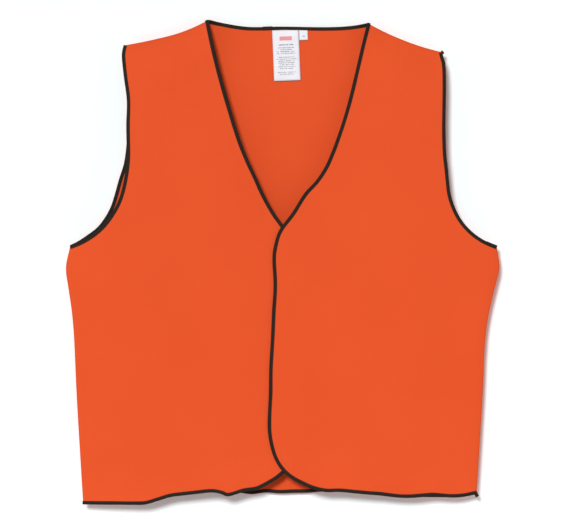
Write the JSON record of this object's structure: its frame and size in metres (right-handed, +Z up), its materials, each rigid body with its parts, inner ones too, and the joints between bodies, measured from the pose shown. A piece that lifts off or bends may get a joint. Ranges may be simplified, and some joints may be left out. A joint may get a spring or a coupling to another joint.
{
  "type": "blaze orange vest",
  "caption": "Sleeveless high-visibility knit vest with a V neck, lapped front that folds open, and contrasting bound edges.",
  "frame": {"origin": "where the neck points rest on the shoulders: level with the neck points, on the body's centre line, midway between front and back", "axes": "+X to the wearer's left, -Y out of the front, +Z up; the vest hangs upright as worn"},
  "size_m": [0.6294, 0.0331, 0.7045],
  "materials": {
    "blaze_knit": "fine polyester knit, matt, blaze orange",
    "black_tape": "woven binding tape, matt, black",
    "hook_tape": "nylon hook tape, matt",
    "loop_tape": "brushed nylon loop tape, matt",
    "label_cloth": "woven satin label, soft sheen"
  },
  "bodies": {
    "body": {"back_panel": "blaze_knit", "left_front_side": "blaze_knit", "right_front_side": "blaze_knit", "back_neck_binding": "black_tape", "back_hem_binding": "black_tape", "left_hem_binding": "black_tape", "right_hem_binding": "black_tape", "left_armhole_binding": "black_tape", "right_armhole_binding": "black_tape", "left_shoulder_seam": "blaze_knit", "right_shoulder_seam": "blaze_knit", "left_side_seam": "blaze_knit", "right_side_seam": "blaze_knit"},
    "left_flap": {"left_front_flap": "blaze_knit", "left_front_binding": "black_tape", "hook_patch_top": "hook_tape", "hook_patch_middle": "hook_tape", "hook_patch_bottom": "hook_tape"},
    "right_flap": {"right_front_flap": "blaze_knit", "right_front_binding": "black_tape", "loop_patch_top": "loop_tape", "loop_patch_middle": "loop_tape", "loop_patch_bottom": "loop_tape"},
    "care_label": {"care_label": "label_cloth"},
    "size_tag": {"size_tag": "label_cloth"}
  },
  "joints": [
    {"name": "left_front_fold", "type": "hinge", "parent": "body", "child": "left_flap", "pos_m": [0.1215, -0.0164, -0.35], "axis": [0, 0, 1], "range_deg": [0, 150]},
    {"name": "right_front_fold", "type": "hinge", "parent": "body", "child": "right_flap", "pos_m": [-0.1105, -0.0164, -0.35], "axis": [0, 0, -1], "range_deg": [0, 105]},
    {"name": "care_label_flip", "type": "hinge", "parent": "body", "child": "care_label", "pos_m": [0.002, 0.0115, -0.01414], "axis": [-0.9992, 0, -0.0401], "range_deg": [0, 160]},
    {"name": "size_tag_flip", "type": "hinge", "parent": "body", "child": "size_tag", "pos_m": [0.002, 0.0115, -0.01414], "axis": [-0.9992, 0, -0.0401], "range_deg": [0, 160]}
  ],
  "couplings": [
    {"joint": "right_front_fold", "follows": "left_front_fold", "ratio": 0.7}
  ]
}
